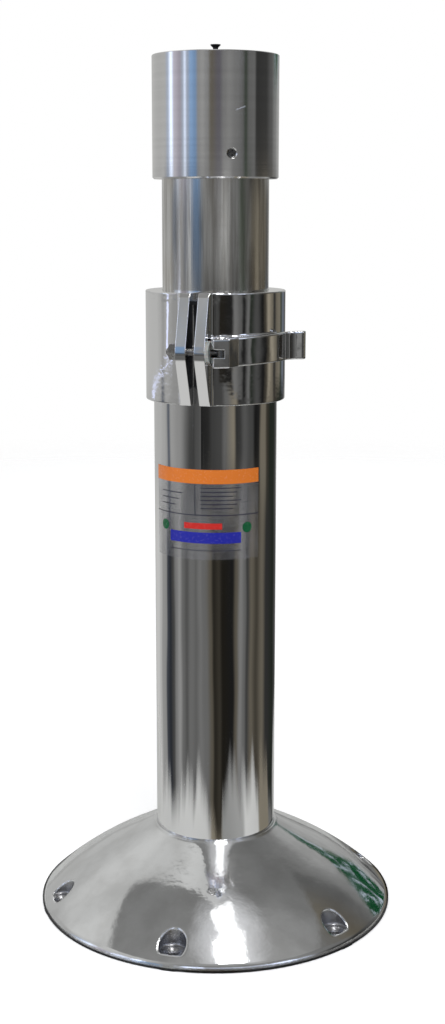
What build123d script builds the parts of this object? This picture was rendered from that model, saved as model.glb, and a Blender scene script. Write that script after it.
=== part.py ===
from build123d import *
import os
from math import cos, radians, sin, sqrt, tan

# Adjustable boat seat pedestal. A domed cast base holds a polished lower post, and an inner post
# with a top sleeve slides and turns in it. A split collar with a cam lever clamps the inner post.
# A lift strut on the centre line joins the base to the plug in the inner post's top.
# Millimetres, +Z up, origin at the middle of the base's underside, front towards -Y.
# Angles called "from the front" run from -Y towards +X.

os.makedirs("parts", exist_ok=True)

# Running and seating clearances, measured on the radius
slide_clear = 0.10
turn_clear = 0.05
seat_clear = 0.05
free_clear = 0.40

# Lower post and base casting
post_d = 73.0
post_wall = 3.2
post_seat_z = 12.0
base_d = 217.6
rim_h = 2.6
rim_round = 0.8
rim_w = 4.6
dome_top_z = 48.5
dome_slope = 29.0
shoulder_r = 67.0
base_wall = 5.0
hub_lip_w = 1.7
hub_lip_h = 0.9
hub_lip_round = 0.5
hub_wall = 6.0
hub_foot_z = 3.0
seat_ledge_w = 9.0
rib_w = 4.0
rib_foot_z = 5.0

# Screw pockets in the base
mount_inset = 10.4
mount_count = 6
mount_start = -14.5
pocket_d = 16.0
pocket_floor_z = 7.0
pocket_round = 1.0
boss_wall = 3.0
mount_hole_d = 5.5
mount_sink_d = 9.6
sink_angle = 90.0

# Inner post and top sleeve
inner_d = 62.2
inner_wall = 3.0
inner_bottom_z = 200.5
sleeve_d = 73.0
sleeve_bottom_z = 441.0
sleeve_h = 69.0
sleeve_chamfer = 0.9
sleeve_top_chamfer = 0.4

# Screws that hold the sleeve
sleeve_screw_count = 3
sleeve_screw_angle = 14.5
sleeve_screw_rise = 13.6
sleeve_screw_d = 3.6
sleeve_screw_head_d = 6.2
sleeve_screw_sink = 0.3
cross_len = 3.4
cross_w = 0.8
cross_depth = 1.0

# Clamp collar
collar_d = 82.1
collar_bottom_z = 314.0
collar_h = 63.7
collar_lip_h = 4.7
collar_round = 0.7
clamp_angle = -16.5
split_gap = 5.0
ear_t = 6.2
ear_crown_out = 2.0
ear_crown_drop = 2.4
ear_nose_out = 11.2
ear_nose_rise = 29.7
ear_nose_round = 15.0
ear_root_round = 3.0
post_slit_w = 4.0
post_slit_rise = 9.0

# Clamp bolt, nut and washer
bolt_offset = 45.5
bolt_rise = 31.0
bolt_d = 4.2
bolt_tail = 2.0
nut_af = 8.7
nut_h = 4.6
washer_d = 13.0
washer_t = 2.3

# Cam lever and its barrel pin
cam_r = 7.2
face_out = 6.0
corner_out = 5.1
facet_in = 9.1
facet_out = 2.7
lever_h = 16.2
lever_rise = 3.3
slot_clear = 0.15
arm_t = 4.0
arm_bend_r = 46.0
arm_end_gap = 0.6
arm_end_angle = 65.0
tab_len = 10.3
tab_round = 5.0
tab_tip_round = 1.2
lever_edge_round = 0.8
barrel_d = 8.0
barrel_recess = 0.5

# Guides between the posts
guide_flange_h = 2.2
guide_h = 54.0
guide_slit_w = 3.0
foot_guide_h = 30.0
foot_guide_lip = 3.0

# Lift strut and what carries it
foot_plate_t = 4.0
strut_rod_d = 10.0
strut_stud_d = 8.0
strut_rod_len = 300.0
strut_d = 28.0
strut_wall = 3.0
strut_len = 292.0
strut_cap_h = 12.0
strut_gland_h = 12.0
piston_h = 8.0
foot_nut_af = 13.0
foot_nut_h = 5.0
foot_washer_d = 18.0
foot_washer_t = 1.6

# Plug in the inner post's top, with the small screw that stands proud of it
plug_h = 16.0
plug_web = 4.0
plug_bevel = 0.6
spigot_d = 12.0
thrust_washer_d = 26.0
thrust_washer_t = 1.5
top_screw_d = 3.0
top_screw_head_d = 5.8
top_screw_head_rim = 0.5
top_screw_proud = 6.0
top_screw_bite = 8.0

# Label film on the lower post
label_bottom_z = 221.0
label_h = 55.5
label_start = -67.0
label_span = 110.0
label_t = 0.2

# Sizes that follow from those above
post_r = post_d / 2
post_bore_r = post_r - post_wall
inner_r = inner_d / 2
inner_bore_r = inner_r - inner_wall
sleeve_r = sleeve_d / 2
sleeve_top_z = sleeve_bottom_z + sleeve_h
base_r = base_d / 2
lip_r = post_r + hub_lip_w
hub_r = post_r + hub_wall
mount_r = base_r - mount_inset
boss_r = pocket_d / 2 + boss_wall
shoulder_z = dome_top_z - (shoulder_r - lip_r) * tan(radians(dome_slope))
collar_r = collar_d / 2
collar_top_z = collar_bottom_z + collar_h
collar_step_z = collar_top_z - collar_lip_h
post_top_z = collar_step_z - guide_flange_h
bolt_z = collar_bottom_z + bolt_rise
bolt_r = bolt_d / 2
ear_half = split_gap / 2 + ear_t
washer_end = ear_half + washer_t
pin_along = washer_end + cam_r
plug_bottom_z = sleeve_top_z - plug_h
strut_top_z = plug_bottom_z - thrust_washer_t
strut_bottom_z = strut_top_z - strut_len
strut_r = strut_d / 2
strut_bore_r = strut_r - strut_wall
rod_foot_z = post_seat_z + foot_plate_t
rod_top_z = rod_foot_z + strut_rod_len
spigot_top_z = sleeve_top_z - plug_web - seat_clear


def polar(radius, angle):
    """Point at a radius and an angle from the front."""
    return (radius * sin(radians(angle)), -radius * cos(radians(angle)))


def cone_height(wide_d, narrow_d):
    """Height of a countersunk head from its rim down to its shank."""
    return (wide_d - narrow_d) / 2 / tan(radians(sink_angle / 2))


def radial_plane(radius, angle, z):
    """Plane that faces outwards at a point of a vertical cylinder."""
    x, y = polar(radius, angle)
    return Plane(origin=(x, y, z), x_dir=(-y, x, 0), z_dir=(x, y, 0))


# The clamp's own directions: along the bolt, and outwards through the collar's split
along = Vector(1, 0, 0).rotate(Axis.Z, clamp_angle)
outward = Vector(0, -1, 0).rotate(Axis.Z, clamp_angle)
clamp_plan = Plane(origin=(0, 0, bolt_z), x_dir=along, z_dir=(0, 0, 1))
clamp_front = Plane(origin=(0, 0, bolt_z), x_dir=along, z_dir=outward)
clamp_side = Plane(origin=(0, 0, bolt_z), x_dir=outward, z_dir=-along)

# Solid outer form of the dome, used to trim the ribs and bosses below it
with BuildPart() as dome_envelope:
    with BuildSketch(Plane.XZ):
        with BuildLine():
            cone = Line((lip_r, dome_top_z), (shoulder_r, shoulder_z))
            rim_arc = TangentArc(cone @ 1, (base_r, rim_h), tangent=cone % 1)
            Polyline(rim_arc @ 1, (base_r, 0), (0, 0), (0, dome_top_z), cone @ 0)
        make_face()
    revolve(axis=Axis.Z)

# Six screw bosses and the ribs that tie them to the hub
with BuildPart() as stiffeners:
    with BuildSketch():
        with PolarLocations(mount_r, mount_count, start_angle=mount_start - 90):
            Circle(boss_r)
    extrude(amount=dome_top_z)
    rib_start_r = hub_r - hub_wall / 2
    with BuildSketch(Plane.XY.offset(rib_foot_z)):
        with PolarLocations((rib_start_r + mount_r) / 2, mount_count, start_angle=mount_start - 90):
            Rectangle(mount_r - rib_start_r, rib_w)
    extrude(amount=dome_top_z)
    add(dome_envelope.part, mode=Mode.INTERSECT)

# Round-bottomed plugs that shape the six screw pockets
with BuildPart() as pocket_plugs:
    with BuildSketch(Plane.XY.offset(pocket_floor_z)):
        with PolarLocations(mount_r, mount_count, start_angle=mount_start - 90):
            Circle(pocket_d / 2)
    extrude(amount=dome_top_z)
    fillet(pocket_plugs.edges().group_by(Axis.Z)[0], pocket_round)

# Base casting: dome wall, hub socket with a seat for the post, bosses, ribs and screw pockets
with BuildPart() as base_casting:
    inset_r = base_wall * sin(radians(dome_slope))
    inset_z = base_wall * cos(radians(dome_slope))
    inner_cone_z = dome_top_z - inset_z - (hub_r - lip_r + inset_r) * tan(radians(dome_slope))
    lip_top_z = dome_top_z + hub_lip_h
    ledge_r = post_r - seat_ledge_w
    with BuildSketch(Plane.XZ) as dome_section:
        with BuildLine():
            cone = Line((lip_r, dome_top_z), (shoulder_r, shoulder_z))
            rim_arc = TangentArc(cone @ 1, (base_r, rim_h), tangent=cone % 1)
            inner_cone = Line((hub_r, inner_cone_z), (shoulder_r - inset_r, shoulder_z - inset_z))
            inner_arc = TangentArc(inner_cone @ 1, (base_r - rim_w, 0), tangent=inner_cone % 1)
            Polyline(rim_arc @ 1, (base_r, 0), inner_arc @ 1)
            Polyline(
                inner_cone @ 0,
                (hub_r, hub_foot_z),
                (ledge_r, hub_foot_z),
                (ledge_r, post_seat_z),
                (post_r, post_seat_z),
                (post_r, lip_top_z),
                (lip_r, lip_top_z),
                (lip_r, dome_top_z),
            )
        make_face()
        fillet(dome_section.vertices().group_by(Axis.X)[-1], rim_round)
        fillet(dome_section.vertices().sort_by(Axis.Y)[-1:], hub_lip_round)
    revolve(axis=Axis.Z)
    add(stiffeners.part)
    add(pocket_plugs.part, mode=Mode.SUBTRACT)
    with Locations(Plane.XY.offset(pocket_floor_z)):
        with PolarLocations(mount_r, mount_count, start_angle=mount_start - 90):
            CounterSinkHole(
                radius=mount_hole_d / 2,
                counter_sink_radius=mount_sink_d / 2,
                depth=pocket_floor_z,
                counter_sink_angle=sink_angle,
            )

# Lower post, slit at the top so that the collar can squeeze it on to the guide
with BuildPart() as lower_post:
    with BuildSketch(Plane.XY.offset(post_seat_z)):
        Circle(post_r)
        Circle(post_bore_r, mode=Mode.SUBTRACT)
    extrude(amount=post_top_z - post_seat_z)
    slit_bottom = collar_bottom_z + post_slit_rise - bolt_z
    slit_top = post_top_z - bolt_z + post_slit_w
    with BuildSketch(clamp_front):
        with Locations((0, (slit_bottom + slit_top) / 2)):
            SlotOverall(slit_top - slit_bottom, post_slit_w, rotation=90)
    extrude(amount=post_d, mode=Mode.SUBTRACT)

# Guide in the lower post's top, a plastic sleeve with a flange and a slit at the back
with BuildPart() as upper_guide:
    guide_bore_r = inner_r + slide_clear
    with BuildSketch(Plane.XZ):
        with BuildLine():
            Polyline(
                (guide_bore_r, post_top_z - guide_h),
                (post_bore_r, post_top_z - guide_h),
                (post_bore_r, post_top_z),
                (post_r, post_top_z),
                (post_r, collar_step_z),
                (guide_bore_r, collar_step_z),
                close=True,
            )
        make_face()
    revolve(axis=Axis.Z)
    with BuildSketch(clamp_front):
        Rectangle(guide_slit_w, 2 * collar_h + guide_h)
    extrude(amount=-post_d, mode=Mode.SUBTRACT)

# The collar's two ears before they are split: rounded roots in plan, a pointed nose in side view
ear_root_r = (collar_r + post_r) / 2
with BuildPart() as ears:
    with BuildSketch(clamp_plan.offset(collar_bottom_z - bolt_z)) as ear_plan:
        Circle(collar_r)
        with Locations((0, -collar_r)):
            Rectangle(2 * ear_half, 4 * ear_nose_out)
        Circle(ear_root_r, mode=Mode.SUBTRACT)
        Rectangle(2 * collar_r, collar_r, align=(Align.CENTER, Align.MIN), mode=Mode.SUBTRACT)
        root_depth = sqrt(collar_r**2 - ear_half**2)
        for side in (-ear_half, ear_half):
            fillet(ear_plan.vertices().sort_by_distance((side, -root_depth))[0], ear_root_round)
        with Locations((0, -collar_r)):
            Rectangle(2 * (ear_half + ear_root_round), 4 * ear_nose_out, mode=Mode.INTERSECT)
    extrude(amount=collar_h)
    ear_top = collar_top_z - bolt_z
    ear_bottom = collar_bottom_z - bolt_z
    with BuildSketch(clamp_side) as ear_section:
        with BuildLine():
            Polyline(
                (0, ear_top),
                (collar_r, ear_top),
                (collar_r + ear_crown_out, ear_top - ear_crown_drop),
                (collar_r + ear_nose_out, ear_bottom + ear_nose_rise),
                (collar_r, ear_bottom),
                (0, ear_bottom),
                close=True,
            )
        make_face()
        fillet(ear_section.vertices().sort_by(Axis.X)[-1:], ear_nose_round)
    extrude(amount=collar_r, both=True, mode=Mode.INTERSECT)

# Clamp collar: a ring with a lip over the post's end, split between the ears
with BuildPart() as clamp_collar:
    collar_bore_r = post_r + seat_clear
    with BuildSketch(Plane.XZ) as ring_section:
        with BuildLine():
            Polyline(
                (collar_bore_r, collar_bottom_z),
                (collar_r, collar_bottom_z),
                (collar_r, collar_top_z),
                (inner_r + free_clear, collar_top_z),
                (inner_r + free_clear, collar_step_z),
                (collar_bore_r, collar_step_z),
                close=True,
            )
        make_face()
        fillet(ring_section.vertices().group_by(Axis.X)[-1], collar_round)
    revolve(axis=Axis.Z)
    add(ears.part)
    with BuildSketch(clamp_front):
        Rectangle(split_gap, 2 * collar_h)
    extrude(amount=collar_d, mode=Mode.SUBTRACT)
    with BuildSketch(clamp_side):
        with Locations((bolt_offset, 0)):
            Circle(bolt_r + free_clear / 2)
    extrude(amount=collar_d, both=True, mode=Mode.SUBTRACT)
    for side in (-1, 1):
        with BuildSketch(clamp_side.offset(side * ear_half)):
            with Locations((bolt_offset, 0)):
                Circle(washer_d / 2 + free_clear)
        extrude(amount=side * washer_end, mode=Mode.SUBTRACT)

# Bolt along the clamp's direction: tail at the nut, other end screwed into the barrel pin
with BuildPart() as clamp_bolt:
    with BuildSketch(clamp_side.offset(-(pin_along + bolt_r))):
        with Locations((bolt_offset, 0)):
            Circle(bolt_r)
    extrude(amount=pin_along + bolt_r + ear_half + nut_h + bolt_tail)
    chamfer(clamp_bolt.edges().filter_by(GeomType.CIRCLE), bolt_r / 4)

with BuildPart() as clamp_nut:
    with BuildSketch(clamp_side.offset(ear_half)):
        with Locations((bolt_offset, 0)):
            RegularPolygon(nut_af / 2, 6, major_radius=False)
            Circle(bolt_r, mode=Mode.SUBTRACT)
    extrude(amount=nut_h)

with BuildPart() as clamp_washer:
    with BuildSketch(clamp_side.offset(-ear_half)):
        with Locations((bolt_offset, 0)):
            Circle(washer_d / 2)
            Circle(bolt_r, mode=Mode.SUBTRACT)
    extrude(amount=-washer_t)

# Barrel pin across the lever's head, with the bolt's end in its side
pin_spot = (pin_along, -bolt_offset)
with BuildPart() as barrel_pin:
    with BuildSketch(clamp_plan):
        with Locations(pin_spot):
            Circle(barrel_d / 2)
    extrude(amount=lever_h / 2 - barrel_recess, both=True)
    with BuildSketch(clamp_side.offset(-(pin_along + bolt_r))):
        with Locations((bolt_offset, 0)):
            Circle(bolt_r)
    extrude(amount=barrel_d, mode=Mode.SUBTRACT)

# Cam lever: round cam head with a flat face and a facet, a curved arm and an outward finger tab.
# The whole lever is tilted a little, so that the arm rises towards the tab.
with BuildPart() as cam_lever:
    face_y = -(bolt_offset + face_out)
    corner = (pin_along + corner_out, face_y)
    arm_start = (pin_along + corner_out + facet_out, face_y + facet_in)
    arm_end_r = collar_r + arm_end_gap + arm_t
    arm_end_turn = arm_end_angle - clamp_angle
    with BuildSketch(clamp_plan) as lever_plan:
        with Locations(pin_spot):
            Circle(cam_r)
            Rectangle(cam_r, 2 * cam_r, align=(Align.MIN, Align.CENTER), mode=Mode.SUBTRACT)
        with BuildLine() as arm_line:
            arm_bend = RadiusArc(arm_start, polar(arm_end_r, arm_end_turn), -arm_bend_r)
            tab = Line(arm_bend @ 1, polar(arm_end_r + tab_len, arm_end_turn))
            fillet(arm_line.vertices().sort_by_distance(arm_bend @ 1)[:1], tab_round)
            offset(amount=arm_t, side=Side.LEFT)
        make_face()
        fillet(lever_plan.vertices().sort_by_distance(tab @ 1)[:2], tab_tip_round)
        arm_root = Vector(*arm_start) + (arm_bend % 0).rotate(Axis.Z, 90) * arm_t
        with BuildLine():
            Polyline(
                (pin_along, face_y),
                corner,
                arm_start,
                arm_root,
                (pin_along, cam_r - bolt_offset),
                close=True,
            )
        make_face()
        with Locations((pin_along, face_y)):
            Rectangle(4 * cam_r, 2 * cam_r, align=(Align.CENTER, Align.MAX), mode=Mode.SUBTRACT)
    extrude(amount=lever_h, both=True)
    with BuildSketch(clamp_front):
        with Locations((pin_along, 0)):
            Rectangle(4 * collar_r, lever_h, rotation=lever_rise)
    extrude(amount=collar_d, mode=Mode.INTERSECT)
    lever_sides = cam_lever.faces().sort_by(Axis.Z)
    fillet(lever_sides[0].edges() + lever_sides[-1].edges(), lever_edge_round)
    with BuildSketch(clamp_plan):
        with Locations(pin_spot):
            Circle(barrel_d / 2 + turn_clear)
    extrude(amount=lever_h, both=True, mode=Mode.SUBTRACT)
    slot_half = bolt_r + slot_clear
    with BuildSketch(clamp_plan):
        with Locations((pin_along + slot_half, -bolt_offset + slot_half)):
            Rectangle(2 * cam_r, 2 * cam_r, align=(Align.MAX, Align.MAX))
    extrude(amount=slot_half, both=True, mode=Mode.SUBTRACT)

# Inner post, with holes for the sleeve's screws
screw_z = sleeve_bottom_z + sleeve_screw_rise
screw_angles = [sleeve_screw_angle + 360 * i / sleeve_screw_count for i in range(sleeve_screw_count)]
screw_planes = [radial_plane(sleeve_r - sleeve_screw_sink / 2, angle, screw_z) for angle in screw_angles]
sleeve_screw_len = sleeve_r - inner_bore_r
with BuildPart() as inner_post:
    with BuildSketch(Plane.XY.offset(inner_bottom_z)):
        Circle(inner_r)
        Circle(inner_bore_r, mode=Mode.SUBTRACT)
    extrude(amount=sleeve_top_z - inner_bottom_z)
    with Locations(*screw_planes):
        Hole(sleeve_screw_d / 2, depth=sleeve_screw_len)

with BuildPart() as top_sleeve:
    with BuildSketch(Plane.XY.offset(sleeve_bottom_z)):
        Circle(sleeve_r)
        Circle(inner_r, mode=Mode.SUBTRACT)
    extrude(amount=sleeve_h)
    outer_rims = top_sleeve.edges().filter_by(GeomType.CIRCLE).sort_by(SortBy.RADIUS)[-2:].sort_by(Axis.Z)
    chamfer(outer_rims[0], sleeve_chamfer)
    chamfer(outer_rims[1], sleeve_top_chamfer)
    with Locations(*screw_planes):
        CounterSinkHole(
            radius=sleeve_screw_d / 2,
            counter_sink_radius=sleeve_screw_head_d / 2,
            depth=sleeve_screw_len,
            counter_sink_angle=sink_angle,
        )

# Countersunk screws with a cross recess
with BuildPart() as sleeve_screws:
    bottom_up = (Align.CENTER, Align.CENTER, Align.MAX)
    with Locations(*screw_planes):
        Cylinder(sleeve_screw_d / 2, sleeve_screw_len - sleeve_screw_sink, align=bottom_up)
        Cone(
            sleeve_screw_d / 2,
            sleeve_screw_head_d / 2,
            cone_height(sleeve_screw_head_d, sleeve_screw_d),
            align=bottom_up,
        )
        Box(cross_len, cross_w, 2 * cross_depth, mode=Mode.SUBTRACT)
        Box(cross_w, cross_len, 2 * cross_depth, mode=Mode.SUBTRACT)

# Guide ring snapped round the inner post's foot, which also stops it from pulling out
with BuildPart() as foot_guide:
    foot_guide_r = post_bore_r - slide_clear
    with BuildSketch(Plane.XZ):
        with BuildLine():
            Polyline(
                (inner_bore_r, inner_bottom_z - foot_guide_lip),
                (foot_guide_r, inner_bottom_z - foot_guide_lip),
                (foot_guide_r, inner_bottom_z - foot_guide_lip + foot_guide_h),
                (inner_r, inner_bottom_z - foot_guide_lip + foot_guide_h),
                (inner_r, inner_bottom_z),
                (inner_bore_r, inner_bottom_z),
                close=True,
            )
        make_face()
    revolve(axis=Axis.Z)

# Plug in the inner post's top, bored to turn on the strut's spigot
with BuildPart() as top_plug:
    with BuildSketch(Plane.XY.offset(plug_bottom_z)):
        Circle(inner_bore_r)
    extrude(amount=plug_h)
    chamfer(top_plug.edges().filter_by(GeomType.CIRCLE).sort_by(Axis.Z)[-1], plug_bevel)
    with Locations((0, 0, plug_bottom_z)):
        Cylinder(
            spigot_d / 2 + turn_clear,
            plug_h - plug_web,
            align=(Align.CENTER, Align.CENTER, Align.MIN),
            mode=Mode.SUBTRACT,
        )
    with Locations((0, 0, sleeve_top_z)):
        Hole(top_screw_d / 2 + free_clear / 2, depth=plug_h)

with BuildPart() as thrust_washer:
    with BuildSketch(Plane.XY.offset(strut_top_z)):
        Circle(thrust_washer_d / 2)
        Circle(spigot_d / 2 + turn_clear, mode=Mode.SUBTRACT)
    extrude(amount=thrust_washer_t)

# Small screw that stands proud of the plug
with BuildPart() as top_screw:
    head_z = sleeve_top_z + top_screw_proud
    with Locations((0, 0, head_z)):
        Cylinder(top_screw_head_d / 2, top_screw_head_rim, align=bottom_up)
    head_cone = cone_height(top_screw_head_d, top_screw_d)
    with Locations((0, 0, head_z - top_screw_head_rim)):
        Cone(top_screw_d / 2, top_screw_head_d / 2, head_cone, align=bottom_up)
        Cylinder(
            top_screw_d / 2,
            head_z - top_screw_head_rim - spigot_top_z + top_screw_bite,
            align=bottom_up,
        )
    with Locations((0, 0, head_z)):
        Box(cross_len, cross_w, 2 * cross_depth, mode=Mode.SUBTRACT)
        Box(cross_w, cross_len, 2 * cross_depth, mode=Mode.SUBTRACT)

# Strut cylinder, closed at the top by a cap with the spigot that the plug turns on
with BuildPart() as strut_cylinder:
    with BuildSketch(Plane.XZ):
        with BuildLine():
            Polyline(
                (strut_bore_r, strut_bottom_z),
                (strut_r, strut_bottom_z),
                (strut_r, strut_top_z),
                (spigot_d / 2, strut_top_z),
                (spigot_d / 2, spigot_top_z),
                (0, spigot_top_z),
                (0, strut_top_z - strut_cap_h),
                (strut_bore_r, strut_top_z - strut_cap_h),
                close=True,
            )
        make_face()
    revolve(axis=Axis.Z)
    with Locations((0, 0, spigot_top_z)):
        Hole(top_screw_d / 2, depth=top_screw_bite)

with BuildPart() as strut_gland:
    with BuildSketch(Plane.XY.offset(strut_bottom_z)):
        Circle(strut_bore_r)
        Circle(strut_rod_d / 2 + turn_clear, mode=Mode.SUBTRACT)
    extrude(amount=strut_gland_h)

# Strut rod: its foot stands on the plate and its threaded stud passes through
rod_stud_len = foot_plate_t + foot_washer_t + foot_nut_h
with BuildPart() as strut_rod:
    with BuildSketch(Plane.XY.offset(rod_foot_z)):
        Circle(strut_rod_d / 2)
    extrude(amount=strut_rod_len)
    with BuildSketch(Plane.XY.offset(rod_foot_z)):
        Circle(strut_stud_d / 2)
    extrude(amount=-rod_stud_len)

with BuildPart() as strut_piston:
    with BuildSketch(Plane.XY.offset(rod_top_z - piston_h)):
        Circle(strut_bore_r - slide_clear)
        Circle(strut_rod_d / 2, mode=Mode.SUBTRACT)
    extrude(amount=piston_h)

with BuildPart() as foot_plate:
    with BuildSketch(Plane.XY.offset(post_seat_z)):
        Circle(post_bore_r - seat_clear)
        Circle(strut_stud_d / 2, mode=Mode.SUBTRACT)
    extrude(amount=foot_plate_t)

with BuildPart() as foot_washer:
    with BuildSketch(Plane.XY.offset(post_seat_z)):
        Circle(foot_washer_d / 2)
        Circle(strut_stud_d / 2, mode=Mode.SUBTRACT)
    extrude(amount=-foot_washer_t)

with BuildPart() as foot_nut:
    with BuildSketch(Plane.XY.offset(post_seat_z - foot_washer_t)):
        RegularPolygon(foot_nut_af / 2, 6, major_radius=False)
        Circle(strut_stud_d / 2, mode=Mode.SUBTRACT)
    extrude(amount=-foot_nut_h)

# Clear film label, wrapped round the front of the lower post
with BuildPart() as label_film:
    edge_x, edge_y = polar(1, label_start)
    label_edge = Plane(origin=(0, 0, 0), x_dir=(edge_x, edge_y, 0), z_dir=(edge_y, -edge_x, 0))
    with BuildSketch(label_edge):
        with Locations((post_r + seat_clear, label_bottom_z)):
            Rectangle(label_t - seat_clear, label_h, align=(Align.MIN, Align.MIN))
    revolve(axis=Axis.Z, revolution_arc=label_span)

pieces = {
    "base_casting": base_casting,
    "lower_post": lower_post,
    "upper_guide": upper_guide,
    "clamp_collar": clamp_collar,
    "clamp_bolt": clamp_bolt,
    "clamp_nut": clamp_nut,
    "clamp_washer": clamp_washer,
    "barrel_pin": barrel_pin,
    "cam_lever": cam_lever,
    "inner_post": inner_post,
    "top_sleeve": top_sleeve,
    "sleeve_screws": sleeve_screws,
    "foot_guide": foot_guide,
    "top_plug": top_plug,
    "thrust_washer": thrust_washer,
    "top_screw": top_screw,
    "strut_cylinder": strut_cylinder,
    "strut_gland": strut_gland,
    "strut_rod": strut_rod,
    "strut_piston": strut_piston,
    "foot_plate": foot_plate,
    "foot_washer": foot_washer,
    "foot_nut": foot_nut,
    "label_film": label_film,
}
for name, piece in pieces.items():
    piece.part.label = name
    export_step(piece.part, f"parts/{name}.step")
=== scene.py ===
import bmesh
import bpy
from math import atan2, cos, pi, radians, sin
from mathutils import Matrix, Vector


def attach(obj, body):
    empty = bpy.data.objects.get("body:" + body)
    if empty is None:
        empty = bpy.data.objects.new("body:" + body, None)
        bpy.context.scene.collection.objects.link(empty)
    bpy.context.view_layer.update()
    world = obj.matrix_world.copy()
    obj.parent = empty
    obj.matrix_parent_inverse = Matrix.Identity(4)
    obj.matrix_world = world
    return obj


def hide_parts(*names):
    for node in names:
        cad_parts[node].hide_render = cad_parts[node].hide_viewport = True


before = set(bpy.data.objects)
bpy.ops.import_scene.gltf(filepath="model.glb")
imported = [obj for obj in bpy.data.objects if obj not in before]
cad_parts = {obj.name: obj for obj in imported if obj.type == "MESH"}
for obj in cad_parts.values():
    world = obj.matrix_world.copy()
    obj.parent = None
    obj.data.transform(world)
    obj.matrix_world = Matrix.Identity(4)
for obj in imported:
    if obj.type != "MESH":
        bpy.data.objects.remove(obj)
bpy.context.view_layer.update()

# The viewpoint: a camera a little under a metre in front of the pedestal, level with the inner post
# and tipped down, so that the base shows its top. The post stands a touch left of the middle.
camera_distance, camera_height, tipped_down = 0.9195, 0.4266, 11.193
camera_data = bpy.data.cameras.new("viewpoint")
camera_data.sensor_width = 36.0
camera_data.lens = 54.63
camera_data.shift_x = 0.0068
viewpoint = bpy.data.objects.new("viewpoint", camera_data)
viewpoint.location = (0, -camera_distance, camera_height)
viewpoint.rotation_euler = (radians(90 - tipped_down), 0, 0)
bpy.context.scene.collection.objects.link(viewpoint)
bpy.context.scene.camera = viewpoint
bpy.context.scene.view_settings.view_transform = "Standard"

# The room that the polished metal mirrors. Pale screens stand behind and to the left, with dark gaps
# between them, and the front and the right side are dim. The camera itself sees plain white.
room = bpy.data.worlds.new("room")
bpy.context.scene.world = room
room.use_nodes = True
room_tree = room.node_tree
room_tree.nodes.clear()


def math_node(tree, operation, *values):
    """A Math node of that operation, with each value a number or an output socket."""
    node = tree.nodes.new("ShaderNodeMath")
    node.operation = operation
    for index, value in enumerate(values):
        if isinstance(value, bpy.types.NodeSocket):
            tree.links.new(value, node.inputs[index])
        else:
            node.inputs[index].default_value = value
    return node.outputs[0]


def dot(tree, vector, direction):
    """How far a vector reaches in a direction, which is fixed or an output socket."""
    product = tree.nodes.new("ShaderNodeVectorMath")
    product.operation = "DOT_PRODUCT"
    tree.links.new(vector, product.inputs[0])
    if isinstance(direction, bpy.types.NodeSocket):
        tree.links.new(direction, product.inputs[1])
    else:
        product.inputs[1].default_value = direction
    return product.outputs["Value"]


def bearing_of(tree, vector):
    """A vector's bearing as a share of a turn, with 0.5 at the camera and more further right, then
    how far it reaches toward the camera and how far up."""
    parts = tree.nodes.new("ShaderNodeSeparateXYZ")
    tree.links.new(vector, parts.inputs[0])
    toward_camera = math_node(tree, "MULTIPLY", parts.outputs["Y"], -1.0)
    turn = math_node(tree, "ARCTAN2", parts.outputs["X"], toward_camera)
    return math_node(tree, "MULTIPLY_ADD", turn, 1 / (2 * pi), 0.5), toward_camera, parts.outputs["Z"]


def fade(tree, value, low, high, low_out=0.0, high_out=1.0):
    """A smooth change from one number to another while the value passes from low to high."""
    node = tree.nodes.new("ShaderNodeMapRange")
    node.interpolation_type = "SMOOTHSTEP"
    tree.links.new(value, node.inputs["Value"])
    for name, number in zip(("From Min", "From Max", "To Min", "To Max"), (low, high, low_out, high_out)):
        node.inputs[name].default_value = number
    return node.outputs["Result"]


def band(tree, value, rise, fall):
    """1 between two smooth edges and 0 outside them, with each edge the pair of values it spans."""
    return math_node(tree, "MULTIPLY", fade(tree, value, *rise), fade(tree, value, *fall, 1.0, 0.0))


def blend_colours(tree, share, first, second, mode="MIX"):
    """A Mix node for colours, with each colour a list of three numbers or an output socket."""
    node = tree.nodes.new("ShaderNodeMix")
    node.data_type = "RGBA"
    node.blend_type = mode
    for index, value in ((0, share), (6, first), (7, second)):
        if isinstance(value, bpy.types.NodeSocket):
            tree.links.new(value, node.inputs[index])
        else:
            node.inputs[index].default_value = (*value, 1.0) if index else value
    return node.outputs[2]


def noise_value(tree, coordinates, fineness, detail=2.0):
    """Cloudy noise from 0 to 1, with about that many blotches to the metre."""
    noise = tree.nodes.new("ShaderNodeTexNoise")
    noise.inputs["Detail"].default_value = detail
    tree.links.new(coordinates, noise.inputs["Vector"])
    if isinstance(fineness, bpy.types.NodeSocket):
        tree.links.new(fineness, noise.inputs["Scale"])
    else:
        noise.inputs["Scale"].default_value = fineness
    return noise.outputs["Fac"]


def wall_of_screens(tree, bearing, screens):
    """Screens side by side all round: (bearing in degrees, brightness, tint), blended between."""
    ramp = tree.nodes.new("ShaderNodeValToRGB")
    ramp.color_ramp.interpolation = "EASE"
    stops = ramp.color_ramp.elements
    while len(stops) > 1:
        stops.remove(stops[-1])
    stops[0].position = 0.0
    for degrees, brightness, tint in screens:
        share = (degrees + 180) / 360
        stop = stops.new(share) if share > 0 else stops[0]
        stop.color = (*[brightness * channel for channel in tint], 1.0)
    tree.links.new(bearing, ramp.inputs["Fac"])
    return ramp.outputs["Color"]


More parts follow.
